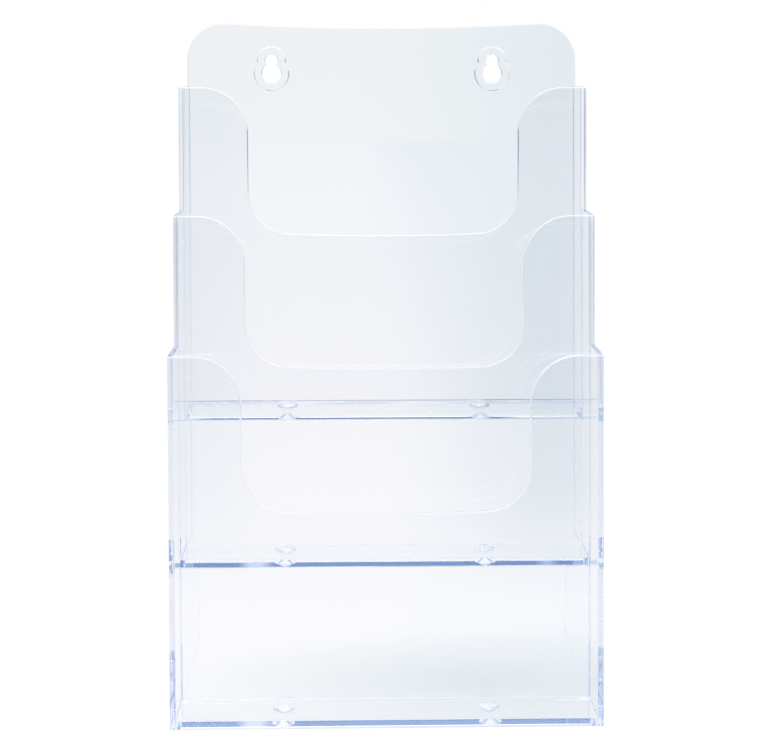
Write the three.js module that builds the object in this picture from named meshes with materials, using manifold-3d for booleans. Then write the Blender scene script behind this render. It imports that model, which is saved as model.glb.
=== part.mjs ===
// A three-tier brochure rack for A4 papers, moulded in clear polystyrene.
// Three pockets stand behind and above one another. A foot with two side wings carries
// the two upper pockets at the back, and a back panel with two keyholes slides down into
// grooves behind the top pocket. Every upright sheet leans back by the same angle.
//
// Millimetres, +Z up, +Y to the back. The model is drawn with its front bottom edge on
// y = 0, and the group is then moved so that the origin is the middle of the footprint.

import * as THREE from 'three';
import { mergeVertices } from 'three/addons/utils/BufferGeometryUtils.js';
import Module from 'manifold-3d';

const wasm = await Module();
wasm.setup();

// Driving dimensions
const rackWidth = 240;
const sideWall = 3;
const sheet = 2.6; // front panels, pocket rear walls and back panel, measured level
const leanAngle = THREE.MathUtils.degToRad(10.5);
const tierPitch = 31.7; // from one front face to the next, measured level
const fitGap = 0.3; // clearance between two mouldings that touch
const floorHeight = 3.3; // thickness of a pocket floor

const basePocketTop = 202.5;
const middlePocketFoot = 78;
const middlePocketTop = 275;
const topPocketFoot = 153.5;
const topPocketTop = 346;

const scoopHalfWidth = 79.5;
const scoopDepth = 84.5; // below the ears, measured upright
const scoopSag = 1; // the lower edge dips in the middle
const earRadius = 27;
const scoopRadius = 25;

const wellOffset = 58; // two conical gate wells in each floor
const wellSetback = 22; // behind the front face
const baseWellSetback = 19;
const wellRadius = 6.4;
const wellDepth = 2.7;

const backPanelWidth = 236;
const backPanelTop = 383.2;
const backPanelSag = 2.8;
const backPanelCorner = 21.5;
const grooveLip = 2.2; // the part of a side wall behind the back panel

const keyholeOffset = 67.1;
const keyholeSlotHeight = 361; // centre of the small upper circle
const keyholeDrop = 7.6; // down the slope to the centre of the large lower circle
const keyholeSlotRadius = 3.85;
const keyholeEntryRadius = 5.85;
const collarSlotRadius = 8.5; // the raised collar round a keyhole
const collarEntryRadius = 10.5;
const collarHeight = 1.4;

const footDepth = 142.6; // level, from the front edge of the rack to the back of the wings
const footRearHeight = 46;
const footWallInset = 1.2; // the foot's front wall stands this far behind the wings' front edges
const footWallClearance = 1; // and stops this far above the table

const studThickness = 1.2; // studs in the side walls locate one moulding on the next
const studLength = 8; // level, for the studs under an upper pocket
const studReach = 4;
const middleStudPlane = 50;
const topStudPlane = 78;
const footStudLevels = [14, 48];
const footStudHeight = 12;

const arcSteps = 14; // points in a quarter turn
const wellSides = 24;
const overshoot = 5; // how far a cutter runs past what it cuts

// Derived planes: a plane is the y at which a leaning face meets z = 0.
const basePlane = 0;
const middlePlane = tierPitch;
const topPlane = 2 * tierPitch;
const backPlane = 3 * tierPitch;
const rise = Math.tan(leanAngle);
const slope = Math.cos(leanAngle);
const rackDepth = backPlane + sheet + backPanelTop * rise;
const halfWidth = rackWidth / 2;
const innerHalf = halfWidth - sideWall;

// A point in side view on a leaning plane, at height z.
function onPlane(plane, z) {
  return new THREE.Vector2(plane + z * rise, z);
}

// Turns a closed three.js geometry into a solid that can be cut and joined.
function toSolid(geometry) {
  const bare = geometry.clone();
  bare.deleteAttribute('normal');
  bare.deleteAttribute('uv');
  const merged = mergeVertices(bare, 1e-4);
  return new wasm.Manifold(new wasm.Mesh({
    numProp: 3,
    vertProperties: Float32Array.from(merged.attributes.position.array),
    triVerts: Uint32Array.from(merged.index.array),
  }));
}

// Turns a finished solid back into a flat-shaded three.js geometry.
function toGeometry(solid) {
  const mesh = solid.getMesh();
  const indexed = new THREE.BufferGeometry();
  indexed.setAttribute('position', new THREE.BufferAttribute(mesh.vertProperties, 3));
  indexed.setIndex(new THREE.BufferAttribute(mesh.triVerts, 1));
  const flat = indexed.toNonIndexed();
  flat.computeVertexNormals();
  return flat;
}

// A solid drawn in side view (y, z) and carried across the rack from left to right.
function acrossRack(points, left, right) {
  const geometry = new THREE.ExtrudeGeometry(new THREE.Shape(points), {
    depth: right - left,
    bevelEnabled: false,
  });
  const axes = new THREE.Matrix4().makeBasis(
    new THREE.Vector3(0, 1, 0),
    new THREE.Vector3(0, 0, 1),
    new THREE.Vector3(1, 0, 0),
  );
  axes.setPosition(left, 0, 0);
  return toSolid(geometry.applyMatrix4(axes));
}

// A solid between two leaning planes and two levels.
function leaningBlock(frontPlane, rearPlane, low, high, left, right) {
  const points = [
    onPlane(frontPlane, low),
    onPlane(rearPlane, low),
    onPlane(rearPlane, high),
    onPlane(frontPlane, high),
  ];
  return acrossRack(points, left, right);
}

// A sheet drawn on the slope (x, distance up the slope), from one leaning plane to another.
function leaningSheet(outline, frontPlane, rearPlane) {
  const geometry = new THREE.ExtrudeGeometry(outline, {
    depth: rearPlane - frontPlane,
    bevelEnabled: false,
    curveSegments: arcSteps,
  });
  const axes = new THREE.Matrix4().makeBasis(
    new THREE.Vector3(1, 0, 0),
    new THREE.Vector3(0, Math.sin(leanAngle), slope),
    new THREE.Vector3(0, -1, 0),
  );
  axes.setPosition(0, rearPlane, 0);
  return toSolid(geometry.applyMatrix4(axes));
}

// The part of a front panel that is cut away between its two ears.
function scoopOutline(pocketTop) {
  const top = pocketTop / slope;
  const bottom = (pocketTop - scoopDepth) / slope;
  const clear = top + overshoot;
  const earEdge = scoopHalfWidth + earRadius;
  const bendEdge = scoopHalfWidth - scoopRadius;
  const outline = new THREE.Shape();
  outline.moveTo(-earEdge, clear);
  outline.lineTo(-earEdge, top);
  outline.absarc(-earEdge, top - earRadius, earRadius, Math.PI / 2, 0, true);
  outline.lineTo(-scoopHalfWidth, bottom + scoopRadius);
  outline.absarc(-bendEdge, bottom + scoopRadius, scoopRadius, Math.PI, 1.5 * Math.PI, false);
  outline.quadraticCurveTo(0, bottom - 2 * scoopSag, bendEdge, bottom);
  outline.absarc(bendEdge, bottom + scoopRadius, scoopRadius, 1.5 * Math.PI, 2 * Math.PI, false);
  outline.lineTo(scoopHalfWidth, top - earRadius);
  outline.absarc(earEdge, top - earRadius, earRadius, Math.PI, Math.PI / 2, true);
  outline.lineTo(earEdge, clear);
  return outline;
}

// A conical gate well, point down, sunk into a floor.
function gateWell(x, setback, plane, floorTop) {
  const profile = [
    new THREE.Vector2(0, -wellDepth),
    new THREE.Vector2(wellRadius, 0),
    new THREE.Vector2(wellRadius, 1),
    new THREE.Vector2(0, 1),
  ];
  const geometry = new THREE.LatheGeometry(profile, wellSides);
  geometry.rotateX(Math.PI / 2);
  geometry.translate(x, plane + floorTop * rise + setback, floorTop);
  return toSolid(geometry);
}

// Cuts the inside of a pocket, its scoop and its gate wells.
function hollowPocket(body, pocket) {
  const { plane, foot, top, openPlane, setback } = pocket;
  const floorTop = foot + floorHeight;
  const inside = leaningBlock(
    plane + sheet, openPlane, floorTop, top + overshoot, -innerHalf, innerHalf,
  );
  const scoop = leaningSheet(scoopOutline(top), plane - overshoot, plane + sheet + overshoot);
  return body
    .subtract(inside)
    .subtract(scoop)
    .subtract(gateWell(-wellOffset, setback, plane, floorTop))
    .subtract(gateWell(wellOffset, setback, plane, floorTop));
}

// A block inside the thickness of each side wall: a stud, or its slot when it has a clearance.
function inSideWalls(frontPlane, rearPlane, low, high, clearance) {
  const near = halfWidth - (sideWall + studThickness) / 2 - clearance;
  const far = near + studThickness + 2 * clearance;
  const left = leaningBlock(frontPlane, rearPlane, low, high, -far, -near);
  return left.add(leaningBlock(frontPlane, rearPlane, low, high, near, far));
}

// The studs under an upper pocket, rooted in its side walls.
function studsUnder(plane, foot) {
  return inSideWalls(plane, plane + studLength, foot - studReach, foot + floorHeight, 0);
}

// The slots that those studs drop into, in the walls below.
function slotsUnder(plane, foot) {
  return inSideWalls(
    plane - fitGap, plane + studLength + fitGap, foot - studReach - fitGap, foot + overshoot,
    fitGap,
  );
}

// The lowest pocket: closed at the back up to the pocket above, open beyond that. The studs
// on its rear face plug into the foot.
function basePocket() {
  const rearTop = middlePocketFoot - fitGap;
  const lower = leaningBlock(basePlane, middlePlane + sheet, 0, rearTop, -halfWidth, halfWidth);
  const upper = leaningBlock(
    basePlane, middlePlane - fitGap, 0, basePocketTop, -halfWidth, halfWidth,
  );
  const pocket = {
    plane: basePlane,
    foot: 0,
    top: basePocketTop,
    openPlane: middlePlane,
    setback: baseWellSetback,
  };
  let body = hollowPocket(lower.add(upper), pocket);
  for (const level of footStudLevels) {
    body = body.add(inSideWalls(
      middlePlane, middlePlane + sheet + studReach, level, level + footStudHeight, 0,
    ));
  }
  return body;
}

// The middle pocket, with two cheeks behind it that carry the top pocket.
function middlePocket() {
  const rearTop = topPocketFoot - fitGap;
  const cheekRear = backPlane + sheet;
  const lower = leaningBlock(
    middlePlane, cheekRear, middlePocketFoot, rearTop, -halfWidth, halfWidth,
  );
  const upper = leaningBlock(
    middlePlane, topPlane - fitGap, middlePocketFoot, middlePocketTop, -halfWidth, halfWidth,
  );
  const rearBay = leaningBlock(
    topPlane + sheet, cheekRear + overshoot, middlePocketFoot - overshoot, topPocketTop,
    -innerHalf, innerHalf,
  );
  const pocket = {
    plane: middlePlane,
    foot: middlePocketFoot,
    top: middlePocketTop,
    openPlane: topPlane,
    setback: wellSetback,
  };
  return hollowPocket(lower.add(upper).subtract(rearBay), pocket)
    .add(studsUnder(middleStudPlane, middlePocketFoot))
    .subtract(slotsUnder(topStudPlane, topPocketFoot));
}

// The top pocket, with a groove down each side wall for the back panel.
function topPocket() {
  const rearFace = backPlane + sheet + fitGap + grooveLip;
  const body = leaningBlock(topPlane, rearFace, topPocketFoot, topPocketTop, -halfWidth, halfWidth);
  const floorTop = topPocketFoot + floorHeight;
  const grooveHalf = backPanelWidth / 2 + fitGap;
  const groove = leaningBlock(
    backPlane - fitGap, backPlane + sheet + fitGap, floorTop, topPocketTop + overshoot,
    -grooveHalf, grooveHalf,
  );
  const rearOpening = leaningBlock(
    backPlane, rearFace + overshoot, floorTop, topPocketTop + overshoot, -innerHalf, innerHalf,
  );
  const pocket = {
    plane: topPlane,
    foot: topPocketFoot,
    top: topPocketTop,
    openPlane: backPlane,
    setback: wellSetback,
  };
  return hollowPocket(body, pocket)
    .subtract(rearOpening)
    .subtract(groove)
    .add(studsUnder(topStudPlane, topPocketFoot));
}

// The foot behind the base pocket: a front wall with a wing behind each end. The wings stand
// on the table, carry the middle pocket and keep the rack upright.
function rearFoot() {
  const frontPlane = middlePlane + sheet + fitGap;
  const wallTop = middlePocketFoot - fitGap;
  const side = [
    onPlane(frontPlane, 0),
    new THREE.Vector2(footDepth, 0),
    new THREE.Vector2(footDepth, footRearHeight),
    onPlane(backPlane + sheet, wallTop),
    onPlane(frontPlane, wallTop),
  ];
  const body = acrossRack(side, -halfWidth, halfWidth);
  const wallPlane = frontPlane + footWallInset;
  const bay = leaningBlock(
    wallPlane + sheet, footDepth + overshoot, -overshoot, wallTop + overshoot,
    -innerHalf, innerHalf,
  );
  const gapInFront = leaningBlock(
    frontPlane - overshoot, wallPlane, -overshoot, wallTop + overshoot, -innerHalf, innerHalf,
  );
  const gapUnderWall = leaningBlock(
    wallPlane - overshoot, wallPlane + sheet + overshoot, -overshoot, footWallClearance,
    -innerHalf, innerHalf,
  );
  let foot = body
    .subtract(bay)
    .subtract(gapInFront)
    .subtract(gapUnderWall)
    .subtract(slotsUnder(middleStudPlane, middlePocketFoot));
  for (const level of footStudLevels) {
    foot = foot.subtract(inSideWalls(
      frontPlane - overshoot, frontPlane + studReach, level - fitGap,
      level + footStudHeight + fitGap, fitGap,
    ));
  }
  return foot;
}

// The outline of the back panel on the slope: rounded upper corners and a slightly hollow top.
function backPanelOutline() {
  const low = (topPocketFoot + floorHeight + fitGap) / slope;
  const top = backPanelTop / slope;
  const half = backPanelWidth / 2;
  const cornerX = half - backPanelCorner;
  const cornerY = top - backPanelCorner;
  const outline = new THREE.Shape();
  outline.moveTo(-half, low);
  outline.lineTo(half, low);
  outline.lineTo(half, cornerY);
  outline.absarc(cornerX, cornerY, backPanelCorner, 0, Math.PI / 2, false);
  outline.quadraticCurveTo(0, top - 2 * backPanelSag, -cornerX, top);
  outline.absarc(-cornerX, cornerY, backPanelCorner, Math.PI / 2, Math.PI, false);
  return outline;
}

// Two overlapping circles, a small one above a large one, as one solid through the panel.
function keyholeShape(x, slotRadius, entryRadius, frontPlane, rearPlane) {
  const slotCentre = keyholeSlotHeight / slope;
  const slot = new THREE.Shape().absarc(x, slotCentre, slotRadius, 0, 2 * Math.PI, false);
  const entry = new THREE.Shape();
  entry.absarc(x, slotCentre - keyholeDrop, entryRadius, 0, 2 * Math.PI, false);
  return leaningSheet(slot, frontPlane, rearPlane).add(leaningSheet(entry, frontPlane, rearPlane));
}

function backPanel() {
  const rearPlane = backPlane + sheet;
  let panel = leaningSheet(backPanelOutline(), backPlane, rearPlane);
  for (const x of [-keyholeOffset, keyholeOffset]) {
    const collar = keyholeShape(
      x, collarSlotRadius, collarEntryRadius, backPlane - collarHeight, backPlane + 0.5,
    );
    const hole = keyholeShape(
      x, keyholeSlotRadius, keyholeEntryRadius, backPlane - overshoot, rearPlane + overshoot,
    );
    panel = panel.add(collar).subtract(hole);
  }
  return panel;
}

// Clear polystyrene. Each moulding has its own slight tint in the model.
function clearPlastic(colour) {
  return new THREE.MeshStandardMaterial({
    color: colour,
    roughness: 0.05,
    metalness: 0,
    transparent: true,
    opacity: 0.35,
  });
}

function addPiece(group, name, solid, colour) {
  const mesh = new THREE.Mesh(toGeometry(solid), clearPlastic(colour));
  mesh.name = name;
  mesh.position.y = -rackDepth / 2;
  group.add(mesh);
}

const rack = new THREE.Group();
addPiece(rack, 'base_pocket', basePocket(), 0xe6eef8);
addPiece(rack, 'middle_pocket', middlePocket(), 0xe8eff8);
addPiece(rack, 'top_pocket', topPocket(), 0xe9f0f7);
addPiece(rack, 'back_panel', backPanel(), 0xebf1f6);
addPiece(rack, 'rear_foot', rearFoot(), 0xe6edf7);

export default rack;
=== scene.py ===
"""A three-tier magazine rack in clear polystyrene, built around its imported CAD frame.

Each moulding is modelled again with rounded rims, filleted corners and conical gate wells, and gets
a clear material with a faint blue body colour, flow waviness, fine scratches and dust. Metres, +Z up.
A leaning plane is named by its y at z = 0.
"""
import math

import bmesh
import bpy
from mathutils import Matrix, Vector


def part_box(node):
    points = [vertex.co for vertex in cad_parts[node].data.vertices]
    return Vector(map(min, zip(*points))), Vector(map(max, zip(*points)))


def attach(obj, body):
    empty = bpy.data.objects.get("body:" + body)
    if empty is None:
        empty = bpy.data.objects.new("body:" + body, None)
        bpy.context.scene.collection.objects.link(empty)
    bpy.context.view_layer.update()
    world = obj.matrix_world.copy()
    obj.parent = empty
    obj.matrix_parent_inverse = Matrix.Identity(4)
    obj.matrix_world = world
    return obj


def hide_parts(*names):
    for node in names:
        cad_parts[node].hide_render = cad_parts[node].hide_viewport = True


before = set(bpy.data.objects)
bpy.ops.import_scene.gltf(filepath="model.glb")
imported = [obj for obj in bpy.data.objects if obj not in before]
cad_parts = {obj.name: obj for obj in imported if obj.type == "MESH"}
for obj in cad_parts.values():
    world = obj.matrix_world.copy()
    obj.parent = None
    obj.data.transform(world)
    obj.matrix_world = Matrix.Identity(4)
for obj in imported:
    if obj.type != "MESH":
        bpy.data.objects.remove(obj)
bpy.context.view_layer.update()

# Sizes of the mouldings, in metres
SHEET = 0.0026
SIDE_WALL = 0.003
LEAN = math.radians(10.5)
TIER_PITCH = 0.0317
FIT_GAP = 0.0003
FLOOR_HEIGHT = 0.0033
SCOOP_HALF_WIDTH = 0.0795
SCOOP_DEPTH = 0.0845
SCOOP_SAG = 0.001
EAR_RADIUS = 0.027
SCOOP_RADIUS = 0.025
WELL_OFFSET = 0.058
WELL_SETBACK = 0.022
BASE_WELL_SETBACK = 0.019
WELL_RADIUS = 0.0065
WELL_DEPTH = 0.0029
WELL_SWELL = 0.0001
WELL_HEADROOM = 0.001
BACK_PANEL_SAG = 0.0028
BACK_PANEL_CORNER = 0.0215
PANEL_FOOT_SLANT = 0.0009
GROOVE_LIP = 0.0022
KEYHOLE_OFFSET = 0.0671
KEYHOLE_SLOT_HEIGHT = 0.361
KEYHOLE_DROP = 0.0076
KEYHOLE_RADII = (0.00385, 0.00585)
COLLAR_RADII = (0.0085, 0.0105)
COLLAR_HEIGHT = 0.0014
COLLAR_OVERLAP = 0.0005
FOOT_REAR_HEIGHT = 0.046
FOOT_WALL_INSET = 0.0012
FOOT_WALL_CLEARANCE = 0.001
STUD_THICKNESS = 0.0012
STUD_LENGTH = 0.008
STUD_REACH = 0.004
MIDDLE_STUD_SETBACK = 0.05
TOP_STUD_SETBACK = 0.078
FOOT_STUD_LEVELS = (0.014, 0.048)
FOOT_STUD_HEIGHT = 0.012
RIM_ROUNDING = 0.0012
CORNER_ROUNDING = 0.0003
FLOOR_FILLET = 0.001
PANEL_ROUNDING = 0.0006
STUD_ROUNDING = 0.0001
OVERSHOOT = 0.005
TOLERANCE = 0.0005

ROUNDING_SEGMENTS = 4
SHARP_EDGE = math.radians(25)
ARC_STEPS = 20
WELL_SIDES = 64
WELL_RINGS = 10

RISE = math.tan(LEAN)
SLOPE = math.cos(LEAN)

# Places worked out from the frame
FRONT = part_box("base_pocket")[0].y
HALF_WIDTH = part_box("base_pocket")[1].x
INNER_HALF = HALF_WIDTH - SIDE_WALL
BASE_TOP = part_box("base_pocket")[1].z
MIDDLE_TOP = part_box("middle_pocket")[1].z
TOP_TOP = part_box("top_pocket")[1].z
WALL_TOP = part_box("rear_foot")[1].z
MIDDLE_FOOT = WALL_TOP + FIT_GAP
TOP_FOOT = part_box("top_pocket")[0].z + STUD_REACH
PANEL_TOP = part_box("back_panel")[1].z
PANEL_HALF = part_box("back_panel")[1].x
BASE_PLANE = FRONT
MIDDLE_PLANE = FRONT + TIER_PITCH
TOP_PLANE = FRONT + 2 * TIER_PITCH
BACK_PLANE = FRONT + 3 * TIER_PITCH
MIDDLE_STUD_PLANE = FRONT + MIDDLE_STUD_SETBACK
TOP_STUD_PLANE = FRONT + TOP_STUD_SETBACK
FOOT_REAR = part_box("rear_foot")[1].y

# The studio: light levels as parts of white, and the camera, which looks slightly down
BRIGHTEST = 1.3
OVERHEAD = 1.9
OVERHEAD_NARROWING = 0.8
FLOOR_GLOW = 1.313
WHITE = (1 / BRIGHTEST, 1 / BRIGHTEST, 1 / BRIGHTEST, 1)
FLOOR_HALF = 6.0
FLOOR_DROP = 0.0002
LENS = 69.7
SENSOR_WIDTH = 36
CAMERA_X = -0.0166
CAMERA_DISTANCE = 0.7715
CAMERA_HEIGHT = 0.3615
CAMERA_PITCH = math.radians(-11.95)
CAMERA_YAW = math.radians(-1.23)
BOUNCES = 320  # enough for light that goes to and fro between the faces of a sheet


# ---------------------------------------------------------------- solids
def lean_y(plane, z):
    """The y of a leaning plane at height z."""
    return plane + z * RISE


def solid_from_rings(name, near, far):
    """A closed solid between two matching outlines."""
    bm = bmesh.new()
    a = [bm.verts.new(p) for p in near]
    b = [bm.verts.new(p) for p in far]
    bm.faces.new(a)
    bm.faces.new(b)
    for i in range(len(a)):
        j = (i + 1) % len(a)
        bm.faces.new((a[i], a[j], b[j], b[i]))
    bmesh.ops.recalc_face_normals(bm, faces=bm.faces)
    return object_from(bm, name)


def object_from(bm, name):
    """An object in the scene made from a finished bmesh, which is used up."""
    mesh = bpy.data.meshes.new(name)
    bm.to_mesh(mesh)
    bm.free()
    obj = bpy.data.objects.new(name, mesh)
    bpy.context.scene.collection.objects.link(obj)
    return obj


def across_rack(points, left, right, name="slab"):
    """A solid drawn in side view (y, z), carried across from left to right."""
    near = [Vector((left, y, z)) for y, z in points]
    far = [Vector((right, y, z)) for y, z in points]
    return solid_from_rings(name, near, far)


def leaning_block(front, rear, low, high, left, right, name="block"):
    """A solid between two leaning planes and two levels."""
    points = [
        (lean_y(front, low), low),
        (lean_y(rear, low), low),
        (lean_y(rear, high), high),
        (lean_y(front, high), high),
    ]
    return across_rack(points, left, right, name)


def leaning_sheet(outline, front, rear, name="sheet"):
    """A solid drawn on the slope (x, distance up the slope) between two leaning planes."""
    near = [Vector((x, front + s * math.sin(LEAN), s * SLOPE)) for x, s in outline]
    far = [Vector((x, rear + s * math.sin(LEAN), s * SLOPE)) for x, s in outline]
    return solid_from_rings(name, near, far)


def lathe(profile, sides, centre, name="lathe"):
    """A solid turned about an upright axis. The profile runs from axis to axis, (radius, height)."""
    bm = bmesh.new()
    rings = []
    for radius, height in profile:
        if radius == 0:
            rings.append([bm.verts.new(centre + Vector((0, 0, height)))])
            continue
        ring = []
        for i in range(sides):
            angle = 2 * math.pi * i / sides
            offset = Vector((radius * math.cos(angle), radius * math.sin(angle), height))
            ring.append(bm.verts.new(centre + offset))
        rings.append(ring)
    for low, high in zip(rings, rings[1:]):
        for i in range(sides):
            j = (i + 1) % sides
            corners = [low[i % len(low)], low[j % len(low)], high[j % len(high)], high[i % len(high)]]
            bm.faces.new(list(dict.fromkeys(corners)))
    bmesh.ops.recalc_face_normals(bm, faces=bm.faces)
    return object_from(bm, name)


def apply_modifiers(obj):
    """Replaces the mesh with the result of its modifiers."""
    graph = bpy.context.evaluated_depsgraph_get()
    result = bpy.data.meshes.new_from_object(obj.evaluated_get(graph))
    obj.modifiers.clear()
    old = obj.data
    obj.data = result
    bpy.data.meshes.remove(old)
    return obj


def combine(body, others, operation):
    """Joins or cuts body with each of the others, which are used up."""
    for other in others:
        modifier = body.modifiers.new("combine", "BOOLEAN")
        modifier.operation = operation
        modifier.solver = "MANIFOLD"
        modifier.object = other
        apply_modifiers(body)
        spent = other.data
        bpy.data.objects.remove(other)
        bpy.data.meshes.remove(spent)
    return body


def join(body, *others):
    return combine(body, others, "UNION")


def cut(body, *others):
    return combine(body, others, "DIFFERENCE")


# ---------------------------------------------------------------- outlines
def arc(cx, cy, radius, start, end, steps=ARC_STEPS):
    """Points round an arc, angles in degrees, both ends included."""
    points = []
    for i in range(steps + 1):
        angle = math.radians(start + (end - start) * i / steps)
        points.append((cx + radius * math.cos(angle), cy + radius * math.sin(angle)))
    return points


def sagging_line(half, level, sag, steps=ARC_STEPS):
    """A level edge from -half to half that dips by sag in the middle, without its ends."""
    points = []
    for i in range(1, steps):
        x = -half + 2 * half * i / steps
        points.append((x, level - sag * (1 - (x / half) ** 2)))
    return points


def scoop_outline(top_level):
    """The part of a front panel that is cut away between its two ears."""
    top = top_level / SLOPE
    bottom = (top_level - SCOOP_DEPTH) / SLOPE
    ear = SCOOP_HALF_WIDTH + EAR_RADIUS
    bend = SCOOP_HALF_WIDTH - SCOOP_RADIUS
    left = [(-ear, top + OVERSHOOT)]
    left += arc(-ear, top - EAR_RADIUS, EAR_RADIUS, 90, 0)
    left += arc(-bend, bottom + SCOOP_RADIUS, SCOOP_RADIUS, 180, 270)
    right = [(-x, s) for x, s in reversed(left)]
    return left + sagging_line(bend, bottom, SCOOP_SAG) + right


def back_panel_outline():
    """Rounded upper corners and a slightly hollow top edge."""
    low = (TOP_FOOT + FLOOR_HEIGHT + FIT_GAP) / SLOPE
    top = PANEL_TOP / SLOPE
    corner_x = PANEL_HALF - BACK_PANEL_CORNER
    corner_s = top - BACK_PANEL_CORNER
    right = [(PANEL_HALF, low)] + arc(corner_x, corner_s, BACK_PANEL_CORNER, 0, 90)
    left = [(-x, s) for x, s in reversed(right)]
    hollow = list(reversed(sagging_line(corner_x, top, BACK_PANEL_SAG)))
    return right + hollow + left


# ---------------------------------------------------------------- mouldings
def gate_well(x, setback, plane, floor_top):
    """A conical gate well, point down, sunk into a floor."""
    centre = Vector((x, lean_y(plane, floor_top) + setback, floor_top))
    profile = [(0, -WELL_DEPTH)]
    for i in range(1, WELL_RINGS):
        part = i / WELL_RINGS
        swell = WELL_SWELL * math.sin(math.pi * part)
        profile.append((WELL_RADIUS * part, -WELL_DEPTH * (1 - part) - swell))
    profile += [(WELL_RADIUS, 0), (WELL_RADIUS, WELL_HEADROOM), (0, WELL_HEADROOM)]
    return lathe(profile, WELL_SIDES, centre)


def hollow_pocket(body, plane, foot, top, open_plane):
    """Cuts the inside of a pocket and its scoop."""
    floor_top = foot + FLOOR_HEIGHT
    inside = leaning_block(
        plane + SHEET, open_plane, floor_top, top + OVERSHOOT, -INNER_HALF, INNER_HALF
    )
    scoop = leaning_sheet(scoop_outline(top), plane - OVERSHOOT, plane + SHEET + OVERSHOOT)
    return cut(body, inside, scoop)


def in_side_walls(front, rear, low, high, clearance=0.0):
    """A block inside the thickness of each side wall: a stud, or with a clearance its slot."""
    near = HALF_WIDTH - (SIDE_WALL + STUD_THICKNESS) / 2 - clearance
    far = near + STUD_THICKNESS + 2 * clearance
    left = leaning_block(front, rear, low, high, -far, -near)
    return left, leaning_block(front, rear, low, high, near, far)


def studs_under(plane, foot):
    """Two studs that hang below a moulding, one inside each side wall."""
    return in_side_walls(plane, plane + STUD_LENGTH, foot - STUD_REACH, foot + FLOOR_HEIGHT)


def slots_under(plane, foot):
    """The slots that take those studs, in the moulding below."""
    return in_side_walls(
        plane - FIT_GAP, plane + STUD_LENGTH + FIT_GAP, foot - STUD_REACH - FIT_GAP,
        foot + OVERSHOOT, FIT_GAP,
    )


def between_side_walls(point):
    return abs(point.x) < INNER_HALF - 5 * TOLERANCE


def corner_rounding(point):
    """Small rounding, and next to none on the studs and slots inside the side walls."""
    if INNER_HALF + STUD_ROUNDING < abs(point.x) < HALF_WIDTH - STUD_ROUNDING:
        return STUD_ROUNDING
    return CORNER_ROUNDING


def pocket_rounding(plane, foot, top):
    """Wide rounding along the panel's rim, a fillet in the floor's front corner, small elsewhere."""
    low = top - SCOOP_DEPTH - 2 * SCOOP_SAG
    floor_top = foot + FLOOR_HEIGHT

    def amount(point):
        depth = point.y - point.z * RISE - plane
        on_panel = -TOLERANCE < depth < SHEET + TOLERANCE
        if on_panel and point.z > low and between_side_walls(point):
            return RIM_ROUNDING
        if abs(point.z - floor_top) < CORNER_ROUNDING and depth < SHEET + CORNER_ROUNDING:
            return FLOOR_FILLET
        return corner_rounding(point)

    return amount


def round_edges(obj, amount, splits=()):
    """Merges flat areas, then rounds every sharp edge, inside corners included.

    A face with a hole is split at each x in splits, so that no face wraps round a hole.
    """
    bm = bmesh.new()
    bm.from_mesh(obj.data)
    bmesh.ops.remove_doubles(bm, verts=bm.verts, dist=1e-6)
    for x in splits:
        split = bmesh.ops.bisect_plane(
            bm, geom=bm.verts[:] + bm.edges[:] + bm.faces[:], plane_co=(x, 0, 0), plane_no=(1, 0, 0)
        )
        for part in split["geom_cut"]:
            if isinstance(part, bmesh.types.BMEdge):
                part.seam = True
    bmesh.ops.dissolve_limit(
        bm, angle_limit=math.radians(0.2), verts=bm.verts, edges=bm.edges, delimit={"SEAM"}
    )
    weight = bm.edges.layers.float.new("bevel_weight_edge")
    for edge in bm.edges:
        if len(edge.link_faces) == 2 and edge.calc_face_angle(0) > SHARP_EDGE:
            middle = (edge.verts[0].co + edge.verts[1].co) / 2
            edge[weight] = amount(middle) / RIM_ROUNDING
    bm.to_mesh(obj.data)
    bm.free()
    bevel = obj.modifiers.new("rounding", "BEVEL")
    bevel.width = RIM_ROUNDING
    bevel.segments = ROUNDING_SEGMENTS
    bevel.limit_method = "WEIGHT"
    bevel.use_clamp_overlap = False
    return apply_modifiers(obj)


def finish_piece(obj, name, node, material):
    """Smooth shading that keeps large faces flat, the material, and the piece's place in the frame."""
    obj.name = name
    obj.data.name = name
    for polygon in obj.data.polygons:
        polygon.use_smooth = True
    weighted = obj.modifiers.new("flat_faces", "WEIGHTED_NORMAL")
    weighted.mode = "FACE_AREA"
    weighted.weight = 50
    weighted.keep_sharp = True
    obj.data.materials.clear()
    obj.data.materials.append(material)
    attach(obj, "root")
    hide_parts(node)
    return obj


def with_wells(obj, plane, foot, setback=WELL_SETBACK):
    """Sinks the two gate wells into a pocket's floor."""
    floor_top = foot + FLOOR_HEIGHT
    return cut(
        obj,
        gate_well(-WELL_OFFSET, setback, plane, floor_top),
        gate_well(WELL_OFFSET, setback, plane, floor_top),
    )


def base_pocket():
    """The lowest pocket, with studs behind it that reach into the foot."""
    lower = leaning_block(
        BASE_PLANE, MIDDLE_PLANE + SHEET, 0, WALL_TOP, -HALF_WIDTH, HALF_WIDTH, "base_pocket_shell"
    )
    upper = leaning_block(
        BASE_PLANE, MIDDLE_PLANE - FIT_GAP, 0, BASE_TOP, -HALF_WIDTH, HALF_WIDTH
    )
    body = hollow_pocket(join(lower, upper), BASE_PLANE, 0, BASE_TOP, MIDDLE_PLANE)
    for level in FOOT_STUD_LEVELS:
        rear = MIDDLE_PLANE + SHEET + STUD_REACH
        join(body, *in_side_walls(MIDDLE_PLANE, rear, level, level + FOOT_STUD_HEIGHT))
    rounded = round_edges(body, pocket_rounding(BASE_PLANE, 0, BASE_TOP))
    return with_wells(rounded, BASE_PLANE, 0, BASE_WELL_SETBACK)


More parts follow.
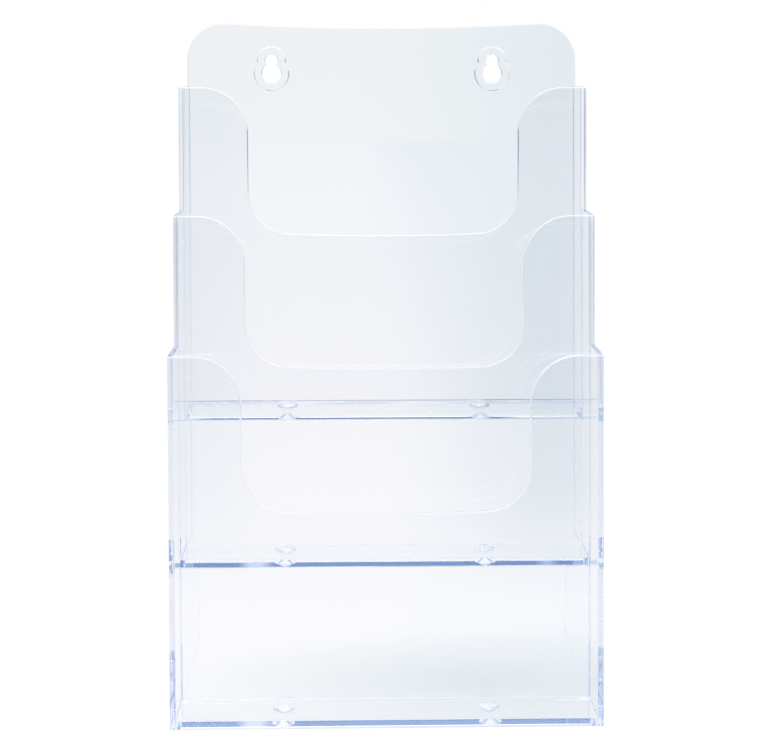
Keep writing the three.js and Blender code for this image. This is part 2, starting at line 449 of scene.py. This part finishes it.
def middle_pocket():
    """The middle pocket, with two cheeks behind it that carry the top pocket."""
    cheek_rear = BACK_PLANE + SHEET
    rear_top = TOP_FOOT - FIT_GAP
    lower = leaning_block(
        MIDDLE_PLANE, cheek_rear, MIDDLE_FOOT, rear_top, -HALF_WIDTH, HALF_WIDTH, "middle_pocket_shell"
    )
    upper = leaning_block(
        MIDDLE_PLANE, TOP_PLANE - FIT_GAP, MIDDLE_FOOT, MIDDLE_TOP, -HALF_WIDTH, HALF_WIDTH
    )
    rear_bay = leaning_block(
        TOP_PLANE + SHEET, cheek_rear + OVERSHOOT, MIDDLE_FOOT - OVERSHOOT, TOP_TOP,
        -INNER_HALF, INNER_HALF,
    )
    body = cut(join(lower, upper), rear_bay)
    body = hollow_pocket(body, MIDDLE_PLANE, MIDDLE_FOOT, MIDDLE_TOP, TOP_PLANE)
    join(body, *studs_under(MIDDLE_STUD_PLANE, MIDDLE_FOOT))
    cut(body, *slots_under(TOP_STUD_PLANE, TOP_FOOT))
    rounded = round_edges(body, pocket_rounding(MIDDLE_PLANE, MIDDLE_FOOT, MIDDLE_TOP))
    return with_wells(rounded, MIDDLE_PLANE, MIDDLE_FOOT)


def top_pocket():
    """The top pocket, open behind, with a groove in each side wall for the back panel."""
    rear_face = BACK_PLANE + SHEET + FIT_GAP + GROOVE_LIP
    floor_top = TOP_FOOT + FLOOR_HEIGHT
    groove_half = PANEL_HALF + FIT_GAP
    body = leaning_block(
        TOP_PLANE, rear_face, TOP_FOOT, TOP_TOP, -HALF_WIDTH, HALF_WIDTH, "top_pocket_shell"
    )
    groove = leaning_block(
        BACK_PLANE - FIT_GAP, BACK_PLANE + SHEET + FIT_GAP, floor_top, TOP_TOP + OVERSHOOT,
        -groove_half, groove_half,
    )
    rear_opening = leaning_block(
        BACK_PLANE, rear_face + OVERSHOOT, floor_top, TOP_TOP + OVERSHOOT, -INNER_HALF, INNER_HALF
    )
    body = hollow_pocket(body, TOP_PLANE, TOP_FOOT, TOP_TOP, BACK_PLANE)
    body = cut(body, rear_opening, groove)
    join(body, *studs_under(TOP_STUD_PLANE, TOP_FOOT))
    rounded = round_edges(body, pocket_rounding(TOP_PLANE, TOP_FOOT, TOP_TOP))
    return with_wells(rounded, TOP_PLANE, TOP_FOOT)


def foot_rounding(point):
    """Wide rounding along the lower edge of the foot's front wall, small rounding elsewhere."""
    under_wall = point.z < FOOT_WALL_CLEARANCE + CORNER_ROUNDING
    if under_wall and between_side_walls(point):
        return RIM_ROUNDING
    return corner_rounding(point)


def rear_foot():
    """A front wall with a wing behind each end, open at the back and underneath."""
    front = MIDDLE_PLANE + SHEET + FIT_GAP
    side = [
        (lean_y(front, 0), 0),
        (FOOT_REAR, 0),
        (FOOT_REAR, FOOT_REAR_HEIGHT),
        (lean_y(BACK_PLANE + SHEET, WALL_TOP), WALL_TOP),
        (lean_y(front, WALL_TOP), WALL_TOP),
    ]
    body = across_rack(side, -HALF_WIDTH, HALF_WIDTH, "rear_foot_wings")
    wall = front + FOOT_WALL_INSET
    bay = leaning_block(
        wall + SHEET, FOOT_REAR + OVERSHOOT, -OVERSHOOT, WALL_TOP + OVERSHOOT,
        -INNER_HALF, INNER_HALF,
    )
    gap_in_front = leaning_block(
        front - OVERSHOOT, wall, -OVERSHOOT, WALL_TOP + OVERSHOOT, -INNER_HALF, INNER_HALF
    )
    gap_under_wall = leaning_block(
        wall - OVERSHOOT, wall + SHEET + OVERSHOOT, -OVERSHOOT, FOOT_WALL_CLEARANCE,
        -INNER_HALF, INNER_HALF,
    )
    cut(body, bay, gap_in_front, gap_under_wall, *slots_under(MIDDLE_STUD_PLANE, MIDDLE_FOOT))
    for level in FOOT_STUD_LEVELS:
        top = level + FOOT_STUD_HEIGHT + FIT_GAP
        slots = in_side_walls(front - OVERSHOOT, front + STUD_REACH, level - FIT_GAP, top, FIT_GAP)
        cut(body, *slots)
    return round_edges(body, foot_rounding)


def two_circles(x, radii):
    """The outline of a small circle above a large one, as one closed line."""
    small, large = radii
    top = KEYHOLE_SLOT_HEIGHT / SLOPE
    low = top - KEYHOLE_DROP
    # where the two circles meet, measured up from the large circle's centre
    meet = (large ** 2 - small ** 2 + KEYHOLE_DROP ** 2) / (2 * KEYHOLE_DROP)
    large_angle = math.degrees(math.acos(meet / large))
    small_angle = math.degrees(math.acos((meet - KEYHOLE_DROP) / small))
    lower = arc(x, low, large, 90 + large_angle, 450 - large_angle, 3 * ARC_STEPS)
    upper = arc(x, top, small, 90 - small_angle, 90 + small_angle, 2 * ARC_STEPS)
    return lower + upper[1:-1]


def panel_rounding(point):
    """Next to no rounding along the back panel's lower edge."""
    return PANEL_ROUNDING if point.z > TOP_FOOT + OVERSHOOT else STUD_ROUNDING


def back_panel():
    """The tall sheet, its lower edge cut on a slant, with a collar round each keyhole."""
    rear = BACK_PLANE + SHEET
    body = leaning_sheet(back_panel_outline(), BACK_PLANE, rear, "back_panel_sheet")
    low = TOP_FOOT + FLOOR_HEIGHT + FIT_GAP
    front_low = low + PANEL_FOOT_SLANT
    past_front = front_low + OVERSHOOT * PANEL_FOOT_SLANT / SHEET
    body = cut(body, across_rack([
        (lean_y(rear, low), low),
        (lean_y(BACK_PLANE, front_low) - OVERSHOOT, past_front),
        (lean_y(BACK_PLANE, low) - OVERSHOOT, low - OVERSHOOT),
        (lean_y(rear, low), low - OVERSHOOT),
    ], -HALF_WIDTH, HALF_WIDTH))
    for x in (-KEYHOLE_OFFSET, KEYHOLE_OFFSET):
        collar = leaning_sheet(
            two_circles(x, COLLAR_RADII), BACK_PLANE - COLLAR_HEIGHT, BACK_PLANE + COLLAR_OVERLAP
        )
        hole = leaning_sheet(
            two_circles(x, KEYHOLE_RADII), BACK_PLANE - OVERSHOOT, rear + OVERSHOOT
        )
        body = cut(join(body, collar), hole)
    return round_edges(body, panel_rounding, (-KEYHOLE_OFFSET, KEYHOLE_OFFSET))


# ---------------------------------------------------------------- materials
def clear_polystyrene(name, seed):
    """Clear polystyrene: high gloss, a faint blue body colour, flow waviness, scratches and dust."""
    material = bpy.data.materials.new(name)
    material.use_nodes = True
    tree = material.node_tree
    tree.nodes.clear()
    new, link = tree.nodes.new, tree.links.new

    out = new("ShaderNodeOutputMaterial")
    shell = new("ShaderNodeBsdfPrincipled")
    shell.inputs["Base Color"].default_value = (0.993, 0.995, 1.0, 1)
    shell.inputs["Metallic"].default_value = 0
    shell.inputs["IOR"].default_value = 1.59
    shell.inputs["Transmission Weight"].default_value = 1
    link(shell.outputs["BSDF"], out.inputs["Surface"])

    body = new("ShaderNodeVolumeAbsorption")
    body.inputs["Color"].default_value = (0.50, 0.57, 0.95, 1)
    body.inputs["Density"].default_value = 1.7
    link(body.outputs["Volume"], out.inputs["Volume"])

    place = new("ShaderNodeTexCoord")
    shift = new("ShaderNodeMapping")
    shift.inputs["Location"].default_value = (seed * 1.7, seed * 0.9, seed * 2.3)
    link(place.outputs["Object"], shift.inputs["Vector"])

    # fine scratches: stretched noise, kept only at its peaks
    stretch = new("ShaderNodeMapping")
    stretch.inputs["Scale"].default_value = (900, 900, 25)
    stretch.inputs["Rotation"].default_value = (0, 0.12, 0.3)
    link(shift.outputs["Vector"], stretch.inputs["Vector"])
    scratch = new("ShaderNodeTexNoise")
    scratch.inputs["Scale"].default_value = 1
    scratch.inputs["Detail"].default_value = 2
    link(stretch.outputs["Vector"], scratch.inputs["Vector"])
    scratch_peaks = new("ShaderNodeMapRange")
    scratch_peaks.inputs["From Min"].default_value = 0.70
    scratch_peaks.inputs["From Max"].default_value = 0.80
    link(scratch.outputs["Fac"], scratch_peaks.inputs["Value"])

    # dust: sparse specks
    dust = new("ShaderNodeTexVoronoi")
    dust.inputs["Scale"].default_value = 70
    link(shift.outputs["Vector"], dust.inputs["Vector"])
    dust_peaks = new("ShaderNodeMapRange")
    dust_peaks.inputs["From Min"].default_value = 0.035
    dust_peaks.inputs["From Max"].default_value = 0.015
    link(dust.outputs["Distance"], dust_peaks.inputs["Value"])

    marks = new("ShaderNodeMath")
    marks.operation = "MAXIMUM"
    link(scratch_peaks.outputs["Result"], marks.inputs[0])
    link(dust_peaks.outputs["Result"], marks.inputs[1])
    rough = new("ShaderNodeMapRange")
    rough.inputs["To Min"].default_value = 0.008
    rough.inputs["To Max"].default_value = 0.05
    link(marks.outputs["Value"], rough.inputs["Value"])
    link(rough.outputs["Result"], shell.inputs["Roughness"])

    # the slow waviness of moulded sheets
    wave = new("ShaderNodeTexNoise")
    wave.inputs["Scale"].default_value = 9
    wave.inputs["Detail"].default_value = 1
    link(shift.outputs["Vector"], wave.inputs["Vector"])
    waviness = new("ShaderNodeBump")
    waviness.inputs["Strength"].default_value = 0.10
    waviness.inputs["Distance"].default_value = 0.0006
    link(wave.outputs["Fac"], waviness.inputs["Height"])
    link(waviness.outputs["Normal"], shell.inputs["Normal"])
    return material


# ---------------------------------------------------------------- studio
def remapped(tree, output, low, high):
    """A value carried from low..high to 0..1."""
    node = tree.nodes.new("ShaderNodeMapRange")
    node.inputs["From Min"].default_value = low
    node.inputs["From Max"].default_value = high
    tree.links.new(output, node.inputs["Value"])
    return node.outputs["Result"]


def ramp(tree, output, low, high, stops, full=1.0):
    """A smooth run of colours over a value, from (value, grey or colour) stops, as parts of full."""
    node = tree.nodes.new("ShaderNodeValToRGB")
    elements = node.color_ramp.elements
    for i, (value, colour) in enumerate(stops):
        position = (value - low) / (high - low)
        element = elements[i] if i < 2 else elements.new(position)
        element.position = position
        rgb = colour if isinstance(colour, tuple) else (colour,) * 3
        element.color = (*(channel / full for channel in rgb), 1)
    tree.links.new(remapped(tree, output, low, high), node.inputs["Fac"])
    return node.outputs["Color"]


def mixed(tree, factor, a, b, blend="MIX"):
    """Two colours mixed. Each of the three can be a plain value or a node's output."""
    node = tree.nodes.new("ShaderNodeMix")
    node.data_type = "RGBA"
    node.blend_type = blend
    for value, socket in ((factor, "Factor"), (a, "A"), (b, "B")):
        if isinstance(value, (float, tuple)):
            node.inputs[socket].default_value = value
        else:
            tree.links.new(value, node.inputs[socket])
    return node.outputs["Result"]


def studio_floor():
    """A plain white table that glows, so that it stays clean. Rays other than the camera's see painted
    shade on it: darker towards the back and the right, and a soft painted shadow behind the rack.
    """
    bm = bmesh.new()
    bmesh.ops.create_grid(bm, x_segments=4, y_segments=4, size=FLOOR_HALF)
    floor = object_from(bm, "studio_floor")
    floor.location.z = -FLOOR_DROP
    material = bpy.data.materials.new("studio_white")
    material.use_nodes = True
    tree = material.node_tree
    tree.nodes.clear()
    out = tree.nodes.new("ShaderNodeOutputMaterial")
    glow = tree.nodes.new("ShaderNodeEmission")
    tree.links.new(glow.outputs["Emission"], out.inputs["Surface"])
    coords = tree.nodes.new("ShaderNodeTexCoord")
    split = tree.nodes.new("ShaderNodeSeparateXYZ")
    tree.links.new(coords.outputs["Object"], split.inputs["Vector"])
    # painted shade, seen only by rays other than the camera's: the glow darker towards the back
    away = ramp(tree, split.outputs["Y"], -1.0, 5.5, [
        (-1.0, 0.97), (0.1, (0.97, 0.965, 0.98)), (0.9, (0.95, 0.945, 0.965)),
        (5.5, (0.93, 0.935, 0.96)),
    ], BRIGHTEST)
    # painted shade: the glow darker towards the right
    across = ramp(tree, split.outputs["X"], -0.25, 0.25, [
        (-0.25, 1.0), (0.0, 1.0), (0.12, (0.955, 0.977, 0.985)), (0.25, (0.925, 0.96, 0.977)),
    ])
    # the painted shadow: an oval, dark at its centre, gone at its edge
    painted_shadow_spot = tree.nodes.new("ShaderNodeMapping")
    painted_shadow_spot.inputs["Location"].default_value = (-0.32, 0.24, 0)
    painted_shadow_spot.inputs["Scale"].default_value = (5.3, 12.0, 1.0)
    tree.links.new(coords.outputs["Object"], painted_shadow_spot.inputs["Vector"])
    soft = tree.nodes.new("ShaderNodeTexGradient")
    soft.gradient_type = "SPHERICAL"
    tree.links.new(painted_shadow_spot.outputs["Vector"], soft.inputs["Vector"])
    painted_shade_colour = mixed(tree, 1.0, away, across, "MULTIPLY")
    # the painted shadow's grey, mixed in most at the oval's centre
    painted_shade_colour = mixed(tree, soft.outputs["Fac"], painted_shade_colour, (0.54, 0.60, 0.62, 1))
    seen = tree.nodes.new("ShaderNodeLightPath")
    colour = mixed(tree, seen.outputs["Is Camera Ray"], painted_shade_colour, WHITE)
    tree.links.new(colour, glow.inputs["Color"])
    glow.inputs["Strength"].default_value = FLOOR_GLOW
    floor.data.materials.append(material)


def studio_world():
    """A lit white sweep behind the rack, a blue-grey canopy over it, a window in front, light above.

    Everything is set by the direction that a ray leaves in. The canopy shows in the floors' front
    edges, the part beside the wings in the edges of the foot, and the window in the panels' faces.
    """
    world = bpy.data.worlds.new("studio")
    bpy.context.scene.world = world
    world.use_nodes = True
    tree = world.node_tree
    tree.nodes.clear()
    out = tree.nodes.new("ShaderNodeOutputWorld")
    sky = tree.nodes.new("ShaderNodeBackground")
    tree.links.new(sky.outputs["Background"], out.inputs["Surface"])
    coords = tree.nodes.new("ShaderNodeTexCoord")
    split = tree.nodes.new("ShaderNodeSeparateXYZ")
    tree.links.new(coords.outputs["Generated"], split.inputs["Vector"])
    x, y, z = (split.outputs[axis] for axis in "XYZ")

    sweep = ramp(tree, z, -0.5, 1.0, [
        (-0.5, 0.97), (0.0, (0.92, 0.935, 0.95)), (0.40, (0.92, 0.94, 0.97)),
    ], BRIGHTEST)
    sweep_sides = ramp(tree, x, -1.0, 1.0, [
        (-1.0, (0.25, 0.32, 0.45)), (-0.5, (0.45, 0.54, 0.68)), (-0.3, 1.0), (0.0, 1.0),
        (0.12, (0.94, 0.97, 0.98)), (0.3, (0.88, 0.94, 0.97)), (0.5, (0.40, 0.49, 0.62)),
        (1.0, (0.22, 0.28, 0.40)),
    ])
    # the canopy's colours, left and right for its outer parts
    dark, pale = (0.09, 0.23, 0.55), (0.62, 0.72, 0.97)
    dim, left, right = (0.40, 0.54, 0.84), (0.84, 0.90, 0.99), (0.62, 0.74, 0.92)
    canopy = ramp(tree, x, -1.0, 1.0, [
        (-1.0, right), (-0.162, right), (-0.157, dim), (-0.138, dim), (-0.131, left),
        (-0.117, left), (-0.112, dark), (-0.078, dark), (-0.071, pale), (-0.062, pale),
        (-0.054, dark), (0.118, dark), (0.1215, dim), (0.1255, dim), (0.129, dark), (0.155, dark),
        (0.160, right), (1.0, right),
    ], BRIGHTEST)
    steep_canopy = ramp(tree, x, -1.0, 1.0, [
        (-1.0, right), (-0.20, (0.76, 0.82, 1.0)), (-0.17, dark), (-0.078, dark), (-0.071, pale),
        (-0.062, pale), (-0.054, dark), (0.17, dark), (0.20, right), (1.0, right),
    ], BRIGHTEST)
    beside_wings = ramp(tree, x, -1.0, 1.0, [
        (-1.0, right), (-0.150, right), (-0.140, left), (-0.106, left), (-0.098, dark),
        (0.098, dark), (0.106, left), (0.140, left), (0.150, right), (1.0, right),
    ], BRIGHTEST)
    beside_wings = mixed(tree, remapped(tree, z, 0.450, 0.460), canopy, beside_wings)
    canopy = mixed(tree, remapped(tree, z, 0.532, 0.540), beside_wings, canopy)
    canopy = mixed(tree, remapped(tree, z, 0.59, 0.62), canopy, steep_canopy)
    window = ramp(tree, z, -0.5, 1.0, [
        (-0.5, 0.97), (0.0, 0.97), (0.06, (0.88, 0.88, 0.90)), (0.16, (0.72, 0.74, 0.78)),
        (0.25, (0.53, 0.62, 0.66)), (0.36, (0.34, 0.46, 0.52)), (1.0, (0.36, 0.46, 0.55)),
    ], BRIGHTEST)
    window_sides = ramp(tree, x, -1.0, 1.0, [
        (-1.0, 0.6), (-0.3, (0.8, 0.85, 0.95)), (-0.095, (0.74, 0.84, 0.88)), (-0.062, 0.97),
        (-0.03, 1.0), (0.03, 1.0), (0.07, (0.68, 0.80, 0.80)), (0.115, (0.35, 0.50, 0.55)),
        (0.3, (0.3, 0.4, 0.5)), (1.0, 0.46),
    ])
    window_sides = mixed(tree, remapped(tree, z, 0.09, 0.01), window_sides, (1, 1, 1, 1))
    behind = mixed(tree, 1.0, sweep, sweep_sides, "MULTIPLY")
    behind = mixed(tree, remapped(tree, z, 0.415, 0.442), behind, canopy)
    ahead = mixed(tree, 1.0, window, window_sides, "MULTIPLY")
    room = mixed(tree, remapped(tree, y, -0.25, 0.25), ahead, behind)
    # the light overhead, wider from side to side than from front to back
    depth = tree.nodes.new("ShaderNodeMath")
    depth.operation = "ABSOLUTE"
    tree.links.new(y, depth.inputs[0])
    above = tree.nodes.new("ShaderNodeMath")
    above.operation = "MULTIPLY_ADD"
    tree.links.new(depth.outputs["Value"], above.inputs[0])
    above.inputs[1].default_value = -OVERHEAD_NARROWING
    tree.links.new(z, above.inputs[2])
    lit = remapped(tree, above.outputs["Value"], 0.45, 0.60)
    room = mixed(tree, lit, room, (OVERHEAD, OVERHEAD, OVERHEAD, 1))
    seen = tree.nodes.new("ShaderNodeLightPath")
    colour = mixed(tree, seen.outputs["Is Camera Ray"], room, WHITE)
    tree.links.new(colour, sky.inputs["Color"])
    sky.inputs["Strength"].default_value = BRIGHTEST


def studio_camera():
    """The camera stands in front and a little above."""
    camera = bpy.data.cameras.new("camera")
    camera.sensor_width = SENSOR_WIDTH
    camera.lens = LENS
    camera.clip_start = 0.01
    camera.clip_end = 50
    obj = bpy.data.objects.new("camera", camera)
    bpy.context.scene.collection.objects.link(obj)
    obj.location = (CAMERA_X, FRONT - CAMERA_DISTANCE, CAMERA_HEIGHT)
    obj.rotation_euler = (math.radians(90) + CAMERA_PITCH, 0, CAMERA_YAW)
    bpy.context.scene.camera = obj


studio_camera()
studio_world()
studio_floor()

scene = bpy.context.scene
scene.view_settings.view_transform = "Standard"
scene.cycles.max_bounces = BOUNCES
scene.cycles.transmission_bounces = BOUNCES
scene.cycles.glossy_bounces = BOUNCES

mouldings = (
    (base_pocket, "base_pocket_shell", "base_pocket", "clear_base"),
    (middle_pocket, "middle_pocket_shell", "middle_pocket", "clear_middle"),
    (top_pocket, "top_pocket_shell", "top_pocket", "clear_top"),
    (back_panel, "back_panel_sheet", "back_panel", "clear_back"),
    (rear_foot, "rear_foot_wings", "rear_foot", "clear_foot"),
)
for seed, (build, name, node, plastic) in enumerate(mouldings, 1):
    finish_piece(build(), name, node, clear_polystyrene(plastic, seed))
